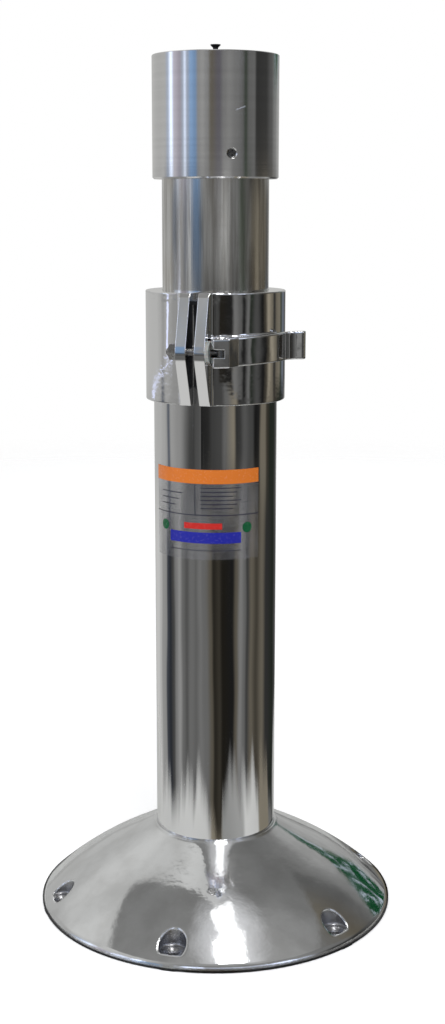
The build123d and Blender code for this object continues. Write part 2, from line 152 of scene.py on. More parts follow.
plain, warm, leaf = (1.0, 1.0, 0.98), (1.12, 1.0, 0.78), (0.90, 1.08, 0.85)
cool, sky, lilac = (0.84, 0.94, 1.14), (0.55, 0.86, 1.35), (1.02, 0.97, 1.10)
high_screens = [
    (-180, 0.52, plain), (-120, 0.45, plain), (-104, 0.46, plain), (-96, 0.50, cool), (-87, 1.40, cool),
    (-80, 0.50, lilac), (-66, 0.36, lilac), (-61, 0.46, cool), (-57, 1.00, cool), (-52, 0.44, cool),
    (-45, 0.46, sky), (-37, 0.36, sky), (-31, 0.28, plain), (-24, 0.32, plain), (-15, 0.24, plain),
    (-8, 0.11, warm), (6, 0.11, lilac), (16, 0.19, plain), (24, 0.22, plain), (40, 0.17, plain),
    (48, 0.13, plain), (56, 0.05, leaf), (63, 0.13, plain), (74, 0.14, plain), (79, 0.035, plain),
    (102, 0.04, plain), (120, 0.10, plain), (136, 0.22, plain), (152, 0.36, plain), (180, 0.55, plain),
]
post_screens = [
    (-180, 0.46, plain), (-150, 0.40, plain), (-120, 0.37, plain), (-110, 0.42, plain), (-103, 0.20, cool),
    (-96, 0.12, cool), (-88, 0.26, plain), (-79, 0.42, plain), (-68, 0.20, cool), (-57, 0.46, plain),
    (-50, 0.11, sky), (-36, 0.14, sky), (-24, 0.21, plain), (0, 0.22, plain), (9, 0.26, plain),
    (17, 0.48, plain), (24, 0.38, plain), (32, 0.18, plain), (48, 0.15, plain), (57, 0.09, leaf),
    (64, 0.08, leaf), (72, 0.14, plain), (88, 0.10, warm), (103, 0.17, warm), (115, 0.11, warm),
    (130, 0.11, warm), (150, 0.09, plain), (160, 0.34, plain), (180, 0.46, plain),
]
collar_screens = [
    (-180, 0.51, plain), (-112, 0.49, plain), (-104, 0.44, plain), (-96, 0.34, plain), (-88, 0.42, plain),
    (-72, 0.31, plain), (-50, 0.24, plain), (-38, 0.12, plain), (-26, 0.10, plain), (-12, 0.05, plain),
    (-4, 0.03, plain), (3, 0.06, plain), (9, 0.015, warm), (26, 0.015, plain), (31, 0.17, plain),
    (41, 0.11, plain), (47, 0.012, plain), (56, 0.15, plain), (61, 0.025, leaf), (72, 0.07, plain),
    (84, 0.012, plain), (90, 0.05, warm), (98, 0.27, warm), (106, 0.16, warm), (113, 0.03, plain),
    (121, 0.14, warm), (130, 0.17, warm), (136, 0.06, leaf), (146, 0.18, cool), (158, 0.07, plain),
    (180, 0.50, plain),
]
middle_screens = [
    (-180, 0.47, plain), (-128, 0.45, plain), (-112, 0.40, plain), (-104, 0.36, plain), (-97, 0.12, cool),
    (-90, 0.34, plain), (-72, 0.28, plain), (-46, 0.05, plain), (-34, 0.08, plain), (-28, 0.10, plain),
    (-24, 0.015, plain), (-14, 0.022, plain), (-4, 0.05, plain), (10, 0.06, plain), (17, 0.13, plain),
    (32, 0.20, warm), (38, 0.032, plain), (44, 0.04, plain), (54, 0.09, plain), (70, 0.06, plain),
    (79, 0.010, plain), (88, 0.016, plain), (96, 0.15, warm), (106, 0.15, warm), (114, 0.04, warm),
    (125, 0.020, leaf), (140, 0.022, leaf), (154, 0.07, plain), (164, 0.44, plain), (180, 0.50, plain),
]
lower_screens = [
    (-180, 0.50, plain), (-140, 0.58, plain), (-128, 0.46, plain), (-120, 0.31, plain), (-109, 0.28, plain),
    (-104, 0.06, cool), (-95, 0.03, cool), (-87, 0.06, plain), (-80, 0.20, plain), (-72, 0.29, plain),
    (-64, 0.14, plain), (-56, 0.09, plain), (-48, 0.15, plain), (-38, 0.12, plain), (-28, 0.17, plain),
    (-18, 0.14, plain), (-9, 0.09, warm), (-3, 0.020, warm), (7, 0.035, warm), (14, 0.012, warm),
    (33, 0.012, plain), (40, 0.09, warm), (48, 0.20, plain), (56, 0.13, plain), (62, 0.05, plain),
    (72, 0.11, warm), (84, 0.05, warm), (100, 0.12, warm), (113, 0.03, plain), (140, 0.020, leaf),
    (156, 0.07, plain), (180, 0.50, plain),
]
direction = room_tree.nodes.new("ShaderNodeTexCoord").outputs["Generated"]
bearing, toward_camera, height = bearing_of(room_tree, direction)
walls = wall_of_screens(room_tree, bearing, lower_screens)
for screens, low, high in (
    (middle_screens, -0.215, -0.155), (collar_screens, -0.125, -0.105),
    (post_screens, -0.055, -0.045), (high_screens, 0.004, 0.022),
):
    above = fade(room_tree, height, low, high)
    walls = blend_colours(room_tree, above, walls, wall_of_screens(room_tree, bearing, screens))
ceiling = wall_of_screens(
    room_tree,
    bearing,
    [(-180, 0.58, plain), (-100, 0.58, plain), (-60, 0.55, plain), (-25, 0.26, plain), (20, 0.22, plain),
     (60, 0.25, plain), (90, 0.18, plain), (112, 0.12, warm), (130, 0.12, plain), (138, 0.22, plain),
     (146, 0.38, plain), (156, 0.50, plain), (180, 0.58, plain)],
)
overhead = wall_of_screens(
    room_tree,
    bearing,
    [(-180, 0.50, plain), (-150, 0.58, plain), (-129, 0.60, plain), (-124, 0.22, plain), (-60, 0.24, plain),
     (-30, 0.32, plain), (0, 0.36, plain), (40, 0.38, plain), (66, 0.36, plain), (78, 0.31, plain),
     (92, 0.26, plain), (108, 0.20, plain), (130, 0.17, plain), (150, 0.34, plain), (180, 0.50, plain)],
)
ceiling = blend_colours(room_tree, fade(room_tree, height, 0.73, 0.77), ceiling, overhead)
round_lamps = fade(room_tree, dot(room_tree, direction, (0.10, -0.20, 0.975)), 0.940, 0.995)
ceiling = blend_colours(room_tree, round_lamps, ceiling, (0.66, 0.66, 0.67))
clouds = fade(room_tree, noise_value(room_tree, direction, 3.0), 0.30, 0.70, 0.92, 1.08)
ceiling = blend_colours(room_tree, 1.0, ceiling, clouds, "MULTIPLY")
surroundings = blend_colours(room_tree, fade(room_tree, height, 0.30, 0.50), walls, ceiling)

# A tall narrow window on the left that only the collar mirrors, as one wavering line.
lean = fade(room_tree, height, -0.120, -0.100, 0.150, 0.285)
upright = math_node(room_tree, "GREATER_THAN", height, -0.099)
lean = math_node(room_tree, "MULTIPLY_ADD", upright, -0.023, lean)
sway = math_node(room_tree, "MULTIPLY_ADD", noise_value(room_tree, height, 90.0, 1.0), 0.008, -0.004)
off_line = math_node(room_tree, "SUBTRACT", bearing, math_node(room_tree, "ADD", lean, sway))
half_width = fade(room_tree, height, -0.116, -0.100, 0.020, 0.0085)
off_line = math_node(room_tree, "DIVIDE", math_node(room_tree, "ABSOLUTE", off_line), half_width)
line = math_node(room_tree, "MULTIPLY", fade(room_tree, off_line, 0.3, 1.0, 1.0, 0.0),
                 band(room_tree, height, (-0.124, -0.118), (-0.052, -0.047)))
surroundings = blend_colours(room_tree, line, surroundings, (0.95, 1.02, 1.35))

# Windows in front, five small ones and a long one, which the rim and the rounded edges catch.
stops = [(-180, 0.0, plain)]
for left, right, edge in ((-94, -82, 1), (-67, -59, 1), (-52.5, -45.5, 0.5), (-21, -7, 1), (39, 52, 1)):
    stops += [(left - edge, 0.0, plain), (left + edge, 1.0, plain)]
    stops += [(right - edge, 1.0, plain), (right + edge, 0.0, plain)]
panes = math_node(room_tree, "MULTIPLY", wall_of_screens(room_tree, bearing, stops),
                  band(room_tree, height, (0.16, 0.20), (0.50, 0.56)))
long_pane = math_node(room_tree, "MULTIPLY", fade(room_tree, bearing, 0.46, 0.50, 0.0, 0.55),
                      band(room_tree, height, (0.20, 0.26), (0.38, 0.44)))
panes = math_node(room_tree, "MAXIMUM", panes, long_pane)
panes = math_node(room_tree, "MULTIPLY", panes, fade(room_tree, toward_camera, 0.30, 0.50))
surroundings = blend_colours(room_tree, panes, surroundings, (1.45, 1.60, 2.00))

# A window with a leafy plant behind on the right, and the table top far below.
leaves = fade(room_tree, noise_value(room_tree, direction, 24.0, 3.0), 0.41, 0.46)
plant = blend_colours(room_tree, leaves, (0.42, 0.48, 0.55), (0.007, 0.060, 0.022))
window = math_node(room_tree, "MULTIPLY", band(room_tree, bearing, (0.850, 0.868), (0.922, 0.934)),
                   band(room_tree, height, (0.06, 0.10), (0.33, 0.37)))
surroundings = blend_colours(room_tree, window, surroundings, plant)
table_top = wall_of_screens(
    room_tree,
    bearing,
    [(-180, 0.50, plain), (-140, 0.30, plain), (-110, 0.22, plain), (-85, 0.45, plain), (-60, 0.60, plain),
     (0, 0.58, plain), (20, 0.35, plain), (50, 0.24, plain), (75, 0.42, plain), (100, 0.26, plain),
     (130, 0.22, plain), (150, 0.42, plain), (180, 0.50, plain)],
)
far_below = fade(room_tree, height, -0.60, -0.45, 1.0, 0.0)
surroundings = blend_colours(room_tree, far_below, surroundings, table_top)
seen_by_camera = room_tree.nodes.new("ShaderNodeLightPath").outputs["Is Camera Ray"]
surroundings = blend_colours(room_tree, seen_by_camera, surroundings, (1.0, 1.0, 1.0))
background = room_tree.nodes.new("ShaderNodeBackground")
room_tree.links.new(surroundings, background.inputs["Color"])
room_output = room_tree.nodes.new("ShaderNodeOutputWorld")
room_tree.links.new(background.outputs[0], room_output.inputs["Surface"])

# Lamps: two ceiling lights that show as highlights on the base, and soft boxes in front, at the sides
# and behind that only brighten what isn't mirror-like.
base_middle, post_middle = (0, 0, 0), (0, 0, 0.25)


def hang_lamp(name, spot, target, width, depth, watts, mirrored):
    """A rectangular lamp at a spot, aimed at a target. Metal shows it only where mirrored is true."""
    data = bpy.data.lights.new(name, "AREA")
    data.shape = "RECTANGLE"
    data.size, data.size_y = width, depth
    data.energy = watts
    lamp = bpy.data.objects.new(name, data)
    lamp.location = spot
    lamp.rotation_euler = (Vector(target) - Vector(spot)).to_track_quat("-Z", "Y").to_euler()
    lamp.visible_camera = False
    lamp.visible_glossy = mirrored
    bpy.context.scene.collection.objects.link(lamp)


hang_lamp("ceiling_light_above", (0.075, -0.17, 1.28), base_middle, 0.23, 0.26, 0.15, True)
hang_lamp("ceiling_light_front", (0.14, -0.46, 1.25), base_middle, 0.33, 0.28, 3.3, True)
hang_lamp("soft_front", (-0.3, -1.5, 0.9), post_middle, 1.2, 1.2, 8.5, False)
hang_lamp("soft_left", (-1.5, -0.2, 0.9), post_middle, 1.0, 1.2, 4.8, False)
hang_lamp("soft_right", (1.5, 0.1, 0.9), post_middle, 1.0, 1.2, 4.2, False)
hang_lamp("soft_behind", (0.1, 1.6, 1.0), post_middle, 1.2, 1.2, 5.0, False)

# The floor: plain and pale, and open from below and right under the base, so that the base's underside
# can be lit and seen. Polished metal takes it for a table top that ends at an uneven edge, 0.15 to
# 0.45 m out, and shows the room beyond that.
floor_half_width, open_under_base = 6.0, 0.106
shade_by_base, far_fade = (0.112, 0.128), (1.2, 2.0)


def add_piece(name, mesh, *finishes):
    """An object made from a finished bmesh, at the origin, with its materials."""
    data = bpy.data.meshes.new(name)
    mesh.to_mesh(data)
    mesh.free()
    for finish in finishes:
        data.materials.append(finish)
    piece = bpy.data.objects.new(name, data)
    bpy.context.scene.collection.objects.link(piece)
    return piece


def length_of(tree, vector):
    """The length of a vector."""
    node = tree.nodes.new("ShaderNodeVectorMath")
    node.operation = "LENGTH"
    tree.links.new(vector, node.inputs[0])
    return node.outputs["Value"]


def mix_shaders(tree, share, first, second):
    """A Mix Shader node from the first shader to the second."""
    node = tree.nodes.new("ShaderNodeMixShader")
    for index, socket in enumerate((share, first, second)):
        tree.links.new(socket, node.inputs[index])
    return node.outputs[0]


floor_mesh = bmesh.new()
bmesh.ops.create_grid(floor_mesh, x_segments=1, y_segments=1, size=floor_half_width)
pale = bpy.data.materials.new("pale_floor")
pale.use_nodes = True
tree = pale.node_tree
tree.nodes.clear()
spots = tree.nodes.new("ShaderNodeTexCoord").outputs["Object"]
distance = length_of(tree, spots)
heading = bearing_of(tree, spots)[0]
reach = wall_of_screens(
    tree,
    heading,
    [(-180, 0.45, plain), (-126, 0.30, plain), (-116, 0.21, plain), (-104, 0.25, plain), (-96, 0.225, plain),
     (-87, 0.195, plain), (-78, 0.20, plain), (-64, 0.23, plain), (-50, 0.24, plain), (-42, 0.21, plain),
     (-32, 0.27, plain), (-24, 0.25, plain), (-16, 0.205, plain), (-8, 0.16, plain), (6, 0.155, plain),
     (14, 0.22, plain), (26, 0.27, plain), (48, 0.25, plain), (58, 0.23, plain), (70, 0.27, plain),
     (80, 0.22, plain), (90, 0.26, plain), (108, 0.26, plain), (118, 0.18, plain), (134, 0.16, plain),
     (150, 0.40, plain), (180, 0.45, plain)],
)
ragged = fade(tree, noise_value(tree, heading, 18.0, 1.0), 0.30, 0.70, 0.85, 1.15)
reach = math_node(tree, "MULTIPLY", reach, ragged)
beyond = fade(tree, math_node(tree, "DIVIDE", distance, reach), 0.76, 1.26)
patches = wall_of_screens(
    tree,
    heading,
    [(-180, 1.00, plain), (-14, 1.00, plain), (-6, 0.40, warm), (6, 0.30, warm), (14, 0.50, plain),
     (48, 0.60, plain), (56, 1.05, plain), (82, 1.00, plain), (88, 0.36, warm), (112, 0.36, warm),
     (120, 0.30, plain), (136, 0.30, plain), (150, 0.90, plain), (180, 1.00, plain)],
)
# Painted shade: close round the base, metal sees the floor coloured nearly black, for the shade under the
# rim.
mirrored = blend_colours(tree, fade(tree, distance, *shade_by_base), (0.06, 0.06, 0.06), (0.64, 0.64, 0.63))
mirrored = blend_colours(tree, 1.0, mirrored, patches, "MULTIPLY")
path = tree.nodes.new("ShaderNodeLightPath")
colour = blend_colours(tree, path.outputs["Is Glossy Ray"], (0.86, 0.86, 0.86), mirrored)
matt = tree.nodes.new("ShaderNodeBsdfDiffuse")
tree.links.new(colour, matt.inputs["Color"])
glow = tree.nodes.new("ShaderNodeEmission")
glow.inputs["Strength"].default_value = 0.38
brighter = tree.nodes.new("ShaderNodeAddShader")
tree.links.new(matt.outputs[0], brighter.inputs[0])
tree.links.new(glow.outputs[0], brighter.inputs[1])
top = mix_shaders(tree, path.outputs["Is Camera Ray"], matt.outputs[0], brighter.outputs[0])
gone = math_node(tree, "MULTIPLY", path.outputs["Is Glossy Ray"], beyond)
gone = math_node(tree, "MAXIMUM", gone, fade(tree, distance, *far_fade))
gone = math_node(tree, "MAXIMUM", gone, math_node(tree, "LESS_THAN", distance, open_under_base))
from_below = tree.nodes.new("ShaderNodeNewGeometry").outputs["Backfacing"]
gone = math_node(tree, "MAXIMUM", gone, from_below)
nothing = tree.nodes.new("ShaderNodeBsdfTransparent").outputs[0]
floor_output = tree.nodes.new("ShaderNodeOutputMaterial")
tree.links.new(mix_shaders(tree, gone, top, nothing), floor_output.inputs["Surface"])
add_piece("floor", floor_mesh, pale)

# The base: a domed aluminium casting, polished by hand on its upper side, which leaves it slightly
# wavy, with fine swirls and a few nicks. Underneath it is as it came from the sand. Its hub holds
# the post in a tight socket, and six countersunk pockets take the screws into the deck.
base_radius, base_height, hub_lip_radius = 0.1088, 0.0485, 0.0382
pocket_circle, pocket_radius, pocket_count, first_pocket = 0.0984, 0.0084, 6, -14.5
skin_radius, skin_middle, skin_depth = 0.227, 0.043, 0.166
cone_slope, skin_thickness, edge_width, rim_zone = 0.57, 0.0035, 0.0015, 0.085
rounding_start, rounding_width, rounding_drop = 0.106125, 0.0025, 0.0007


def start_group(name, inputs, outputs):
    """A node group for an effect that several finishes share: its tree, its entry and its exit."""
    group = bpy.data.node_groups.new(name, "ShaderNodeTree")
    for socket, kind in inputs:
        group.interface.new_socket(socket, in_out="INPUT", socket_type=kind)
    for socket, kind in outputs:
        group.interface.new_socket(socket, in_out="OUTPUT", socket_type=kind)
    return group, group.nodes.new("NodeGroupInput").outputs, group.nodes.new("NodeGroupOutput").inputs


def place_group(tree, group, **values):
    """That node group in a material, with each input a number, a vector or an output socket."""
    node = tree.nodes.new("ShaderNodeGroup")
    node.node_tree = group
    for name, value in values.items():
        if isinstance(value, bpy.types.NodeSocket):
            tree.links.new(value, node.inputs[name])
        else:
            node.inputs[name].default_value = value
    return node.outputs


def strongest(tree, masks):
    """The greatest of several masks."""
    greatest = 0.0
    for mask in masks:
        greatest = math_node(tree, "MAXIMUM", mask, greatest)
    return greatest


def stretched(tree, vector, scale, turn=(0, 0, 0)):
    """Coordinates turned and then stretched, so that a noise on them runs in one direction."""
    mapping = tree.nodes.new("ShaderNodeMapping")
    mapping.inputs["Rotation"].default_value = turn
    mapping.inputs["Scale"].default_value = scale
    tree.links.new(vector, mapping.inputs["Vector"])
    return mapping.outputs["Vector"]


# Hairlines from handling and polishing, in three directions.
hairlines, entry, leave = start_group(
    "hairlines",
    [("Coordinates", "NodeSocketVector"), ("Fineness", "NodeSocketFloat"), ("Density", "NodeSocketFloat")],
    [("Mask", "NodeSocketFloat")],
)
threshold = math_node(hairlines, "MULTIPLY_ADD", entry["Density"], -0.12, 0.74)
layers = []
for turn in ((0.3, 0.2, 0.5), (1.2, -0.5, 2.1), (-0.7, 1.1, -0.9)):
    strands = stretched(hairlines, entry["Coordinates"], (0.05, 1, 1), turn)
    strands = math_node(hairlines, "SUBTRACT", noise_value(hairlines, strands, entry["Fineness"]), threshold)
    layers.append(fade(hairlines, strands, 0.0, 0.03))
hairlines.links.new(strongest(hairlines, layers), leave["Mask"])

# One straight scratch or nick: its middle, the direction it runs in, its length and its width.
nick, entry, leave = start_group(
    "nick",
    [("Coordinates", "NodeSocketVector"), ("Middle", "NodeSocketVector"), ("Along", "NodeSocketVector"),
     ("Length", "NodeSocketFloat"), ("Width", "NodeSocketFloat")],
    [("Mask", "NodeSocketFloat")],
)
offset = nick.nodes.new("ShaderNodeVectorMath")
offset.operation = "SUBTRACT"
nick.links.new(entry["Coordinates"], offset.inputs[0])
nick.links.new(entry["Middle"], offset.inputs[1])
run = math_node(nick, "ABSOLUTE", dot(nick, offset.outputs["Vector"], entry["Along"]))
span = length_of(nick, offset.outputs["Vector"])
across = math_node(nick, "SUBTRACT", math_node(nick, "POWER", span, 2.0), math_node(nick, "POWER", run, 2.0))
across = math_node(nick, "SQRT", math_node(nick, "MAXIMUM", across, 0.0))
inside = math_node(nick, "LESS_THAN", run, math_node(nick, "MULTIPLY", entry["Length"], 0.5))
taper = fade(nick, math_node(nick, "DIVIDE", across, entry["Width"]), 0.3, 0.6, 1.0, 0.0)
nick.links.new(math_node(nick, "MULTIPLY", inside, taper), leave["Mask"])


def new_finish(name, colour, metallic, roughness):
    """A material, its node tree, its shader and its object coordinates."""
    finish = bpy.data.materials.new(name)
    finish.use_nodes = True
    shader = finish.node_tree.nodes["Principled BSDF"]
    shader.inputs["Base Color"].default_value = (*colour, 1.0)
    shader.inputs["Metallic"].default_value = metallic
    shader.inputs["Roughness"].default_value = roughness
    coordinates = finish.node_tree.nodes.new("ShaderNodeTexCoord").outputs["Object"]
    return finish, finish.node_tree, shader, coordinates


def set_colour(tree, shader, share, first, second):
    """Base colour that goes from the first to the second as the share grows."""
    tree.links.new(blend_colours(tree, share, first, second), shader.inputs["Base Color"])


def set_roughness(tree, shader, least, *additions):
    """Roughness that starts at the least value and grows by (mask, share) pairs."""
    total = least
    for mask, share in additions:
        total = math_node(tree, "MULTIPLY_ADD", mask, share, total)
    tree.links.new(total, shader.inputs["Roughness"])


def soft_edges(tree, shader, radius):
    """Light that catches on an edge as if it were rounded to that radius."""
    edge = tree.nodes.new("ShaderNodeBevel")
    edge.samples = 10
    edge.inputs["Radius"].default_value = radius
    tree.links.new(edge.outputs["Normal"], shader.inputs["Normal"])


def add_relief(tree, shader, height, depth):
    """Relief on a finish, on top of what it has: a height from 0 to 1 and its depth in metres."""
    bump = tree.nodes.new("ShaderNodeBump")
    bump.inputs["Distance"].default_value = depth
    tree.links.new(height, bump.inputs["Height"])
    if shader.inputs["Normal"].is_linked:
        tree.links.new(shader.inputs["Normal"].links[0].from_socket, bump.inputs["Normal"])
    tree.links.new(bump.outputs["Normal"], shader.inputs["Normal"])


def round_axis(radius, degrees, height):
    """A spot at that radius from the posts' axis, at an angle counted from the front to the right."""
    return Vector((radius * sin(radians(degrees)), -radius * cos(radians(degrees)), height))


polished_casting, tree, shader, spots = new_finish("polished_casting", (0.84, 0.85, 0.86), 1.0, 0.12)
soft_edges(tree, shader, 0.0022)
from_axis = length_of(tree, stretched(tree, spots, (1, 1, 0)))
into_rounding = math_node(tree, "MULTIPLY_ADD", from_axis, 1 / rounding_width,
                          -rounding_start / rounding_width)
fallen = math_node(tree, "POWER", math_node(tree, "MAXIMUM", into_rounding, 0.0), 2.0)
add_relief(tree, shader, math_node(tree, "MULTIPLY_ADD", fallen, -1.0, 1.0), rounding_drop)

# How far a spot is sunk below the dome's skin. The skin is an arc turned round the posts' axis, with
# its middle past the axis and below the deck. Only the screw pockets lie below it on the upper side.
out = math_node(tree, "POWER", math_node(tree, "ADD", from_axis, skin_middle), 2.0)
rise = math_node(tree, "POWER", math_node(tree, "ADD", dot(tree, spots, (0, 0, 1)), skin_depth), 2.0)
sunk = math_node(tree, "SUBTRACT", skin_radius, math_node(tree, "SQRT", math_node(tree, "ADD", out, rise)))
in_pocket = math_node(tree, "MULTIPLY", fade(tree, sunk, 0.0004, 0.0012), fade(tree, from_axis, 0.086, 0.088))
scuffs = place_group(tree, hairlines, Coordinates=spots, Fineness=1100.0, Density=0.45)["Mask"]
haze = fade(tree, noise_value(tree, spots, 22.0, 3.0), 0.40, 0.66)
set_roughness(tree, shader, 0.05, (haze, 0.05), (scuffs, 0.06), (in_pocket, 0.22))
mottle = fade(tree, noise_value(tree, spots, 60.0, 4.0), 0.35, 0.70)
tint = blend_colours(tree, mottle, (0.86, 0.87, 0.88), (0.76, 0.765, 0.77))
# Painted shade: inside the screw pockets the metal is coloured dark grey, for the shade in the recesses; it
# is rougher there too.
set_colour(tree, shader, in_pocket, tint, (0.42, 0.42, 0.43))
add_relief(tree, shader, noise_value(tree, spots, 20.0, 1.0), 0.0010)
add_relief(tree, shader, noise_value(tree, spots, 190.0, 2.0), 0.00005)
nicks = strongest(tree, [
    place_group(tree, nick, Coordinates=spots, Middle=middle, Along=Vector(along).normalized(),
                Length=length, Width=width)["Mask"]
    for middle, along, length, width in (
        ((-0.055, -0.072, 0.0285), (0.9, 0.1, 0.3), 0.0034, 0.0007),
        ((0.046, -0.066, 0.0330), (0.6, 0.7, -0.2), 0.0022, 0.0008),
        ((-0.024, -0.089, 0.0240), (0.7, -0.7, 0.1), 0.0026, 0.0006),
    )
])
add_relief(tree, shader, math_node(tree, "SUBTRACT", 1.0, nicks), 0.00005)

sand_casting, tree, shader, spots = new_finish("sand_casting", (0.50, 0.50, 0.49), 1.0, 0.5)
grains = noise_value(tree, spots, 900.0, 3.0)
blotches = fade(tree, noise_value(tree, spots, 35.0, 3.0), 0.35, 0.65)
set_colour(tree, shader, blotches, (0.52, 0.52, 0.51), (0.38, 0.38, 0.37))
set_roughness(tree, shader, 0.42, (grains, 0.22))
add_relief(tree, shader, grains, 0.00035)

# What looks down or lies inside the skin is as the sand left it, apart from the screw pockets.
pockets = [round_axis(pocket_circle, first_pocket + 360 / pocket_count * index, 0)
           for index in range(pocket_count)]
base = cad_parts["base_casting"].data
base.materials.clear()
base.materials.append(polished_casting)
base.materials.append(sand_casting)
for face in base.polygons:
    middle = Vector((face.center.x, face.center.y, 0))
    inside_pocket = any((middle - pocket).length < pocket_radius for pocket in pockets)
    skin_height = min(base_height - cone_slope * (middle.length - hub_lip_radius), base_height)
    below_skin = middle.length < base_radius - edge_width and face.center.z < skin_height - skin_thickness
    outer = face.normal.z > 0.2 or face.normal.dot(middle) > 0 and middle.length > rim_zone
    if face.normal.z < -0.2 or below_skin and not inside_pocket and not outer:
        face.material_index = 1

# The lower post: a 2-7/8 in aluminium tube, drawn and polished to a mirror, pressed into the base's
# hub. Its polish is a little wavy lengthwise, with a few faint draw lines and rub marks.


def dress(finish, *names):
    """The one finish for those CAD nodes."""
    for name in names:
        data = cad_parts[name].data
        data.materials.clear()
        data.materials.append(finish)


polished_tube, tree, shader, spots = new_finish("polished_tube", (0.88, 0.88, 0.885), 1.0, 0.045)
scuffs = place_group(tree, hairlines, Coordinates=spots, Fineness=1300.0, Density=0.30)["Mask"]
draw_lines = fade(tree, noise_value(tree, stretched(tree, spots, (1, 1, 0.03)), 600.0, 2.0), 0.5, 0.75)
wiped = fade(tree, noise_value(tree, stretched(tree, spots, (1, 1, 0.4)), 30.0, 3.0), 0.45, 0.70)
set_roughness(tree, shader, 0.03, (wiped, 0.035), (scuffs, 0.06), (draw_lines, 0.05))
add_relief(tree, shader, noise_value(tree, stretched(tree, spots, (1, 1, 0.35)), 26.0, 1.0), 0.0011)
add_relief(tree, shader, noise_value(tree, stretched(tree, spots, (1, 1, 0.12)), 130.0, 1.0), 0.00007)
dress(polished_tube, "lower_post")

# The label: a clear, slightly hazy film stuck round the front of the post. The printing on it is a
# plain orange band, thin rules, two green dots and two plain bars, with no lettering. Sideways its
# places are degrees round the post, and upwards they are metres.
post_radius = 0.0365
film_left, film_right, film_bottom, film_top = -67.0, 43.0, 0.2232, 0.2765
film_lift, film_thickness, print_lift, print_thickness = 0.00010, 0.00004, 0.00014, 0.00003
band_bottom, rule_bottom, rule_top = 0.2682, 0.2495, 0.2499
bar_left, bar_right = -46.0, 24.0
dot_radius, dot_height, dot_turns = 0.0031, 0.2420, (-53.2, 30.2)
prints = [
    ("orange", film_left, film_right, band_bottom, film_top),
    ("ink_dark", film_left, film_right, rule_bottom, rule_top),
    ("ink_dark", -19.3, -18.8, rule_top, band_bottom),
    ("ink_red", -30.0, 6.0, 0.2415, 0.2450),
    ("ink_blue", bar_left, bar_right, 0.2330, 0.2395),
    ("ink_dark", bar_left, bar_right, 0.2286, 0.2289),
]
prints += [("ink_dark", -14.0, 24.0 - 4.0 * (row % 3), 0.2656 - 0.0024 * row, 0.2660 - 0.0024 * row)
           for row in range(6)]
prints += [("ink_dark", -58.0, -32.0 - 4.0 * row, 0.2620 - 0.0036 * row, 0.2624 - 0.0036 * row)
           for row in range(3)]


def flat_print(mesh, left, right, bottom, top, lift, material_index):
    """A printed strip, drawn flat: arc length across, height up, and lift off the post outwards."""
    strip = bmesh.ops.create_grid(mesh, x_segments=max(1, round((right - left) / 2)), y_segments=1, size=0.5)
    across = radians(right - left) * post_radius
    size = Matrix.Diagonal((across, top - bottom, 1, 1))
    middle = Matrix.Translation((radians(left + right) / 2 * post_radius, (bottom + top) / 2, lift))
    bmesh.ops.transform(mesh, matrix=middle @ size, verts=strip["verts"])
    for face in {face for corner in strip["verts"] for face in corner.link_faces}:
        face.material_index = material_index


def wrap_round_post(mesh, thickness):
    """Gives flat prints their thickness and bends them round the post, with the front at x = 0."""
    bmesh.ops.solidify(mesh, geom=mesh.faces[:], thickness=-thickness)
    for corner in mesh.verts:
        turn, out = corner.co.x / post_radius, post_radius + corner.co.z
        corner.co = (out * sin(turn), -out * cos(turn), corner.co.y)
    bmesh.ops.recalc_face_normals(mesh, faces=mesh.faces)


def ink(name, colour):
    """A printing ink with a clear coat, slightly worn."""
    finish, tree, shader, spots = new_finish(name, colour, 0.0, 0.28)
    fading = fade(tree, noise_value(tree, spots, 900.0, 3.0), 0.45, 0.80)
    set_colour(tree, shader, fading, colour, [0.94 * channel + 0.006 for channel in colour])
    set_roughness(tree, shader, 0.22, (fading, 0.12))
    shader.inputs["Coat Weight"].default_value = 0.4
    shader.inputs["Coat Roughness"].default_value = 0.08
    return finish


clear_film, tree, shader, spots = new_finish("clear_film", (0.34, 0.34, 0.36), 0.0, 0.35)
shader.inputs["Coat Weight"].default_value = 0.5
shader.inputs["Coat Roughness"].default_value = 0.12
cloudy = noise_value(tree, spots, 90.0, 4.0)
tree.links.new(fade(tree, cloudy, 0.30, 0.75, 0.05, 0.11), shader.inputs["Alpha"])
set_roughness(tree, shader, 0.25, (cloudy, 0.20))
film = bmesh.new()
flat_print(film, film_left, film_right, film_bottom, film_top, film_lift, 0)
wrap_round_post(film, film_thickness)
label = add_piece("label_film_clear", film, clear_film)
inks = [ink("orange", (0.72, 0.19, 0.025)), ink("ink_dark", (0.02, 0.02, 0.045)),
        ink("ink_red", (0.58, 0.025, 0.02)), ink("ink_blue", (0.018, 0.022, 0.33)),
        ink("dot_green", (0.006, 0.10, 0.035))]
ink_names = [finish.name for finish in inks]
printing = bmesh.new()
for name, left, right, bottom, top in prints:
    flat_print(printing, left, right, bottom, top, print_lift, ink_names.index(name))
for degrees in dot_turns:
    place = Matrix.Translation((radians(degrees) * post_radius, dot_height, print_lift))
    disc = bmesh.ops.create_circle(printing, cap_ends=True, cap_tris=True, segments=28, radius=dot_radius,
                                   matrix=place)
    spokes = {edge for corner in disc["verts"] for edge in corner.link_edges}
    for face in {face for corner in disc["verts"] for face in corner.link_faces}:
        face.material_index = ink_names.index("dot_green")
    bmesh.ops.subdivide_edges(printing, edges=list(spokes), cuts=3, use_grid_fill=True)
wrap_round_post(printing, print_thickness)
printed = add_piece("label_printing", printing, *inks)
for piece in (label, printed):
    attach(piece, "pedestal")
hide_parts("label_film")

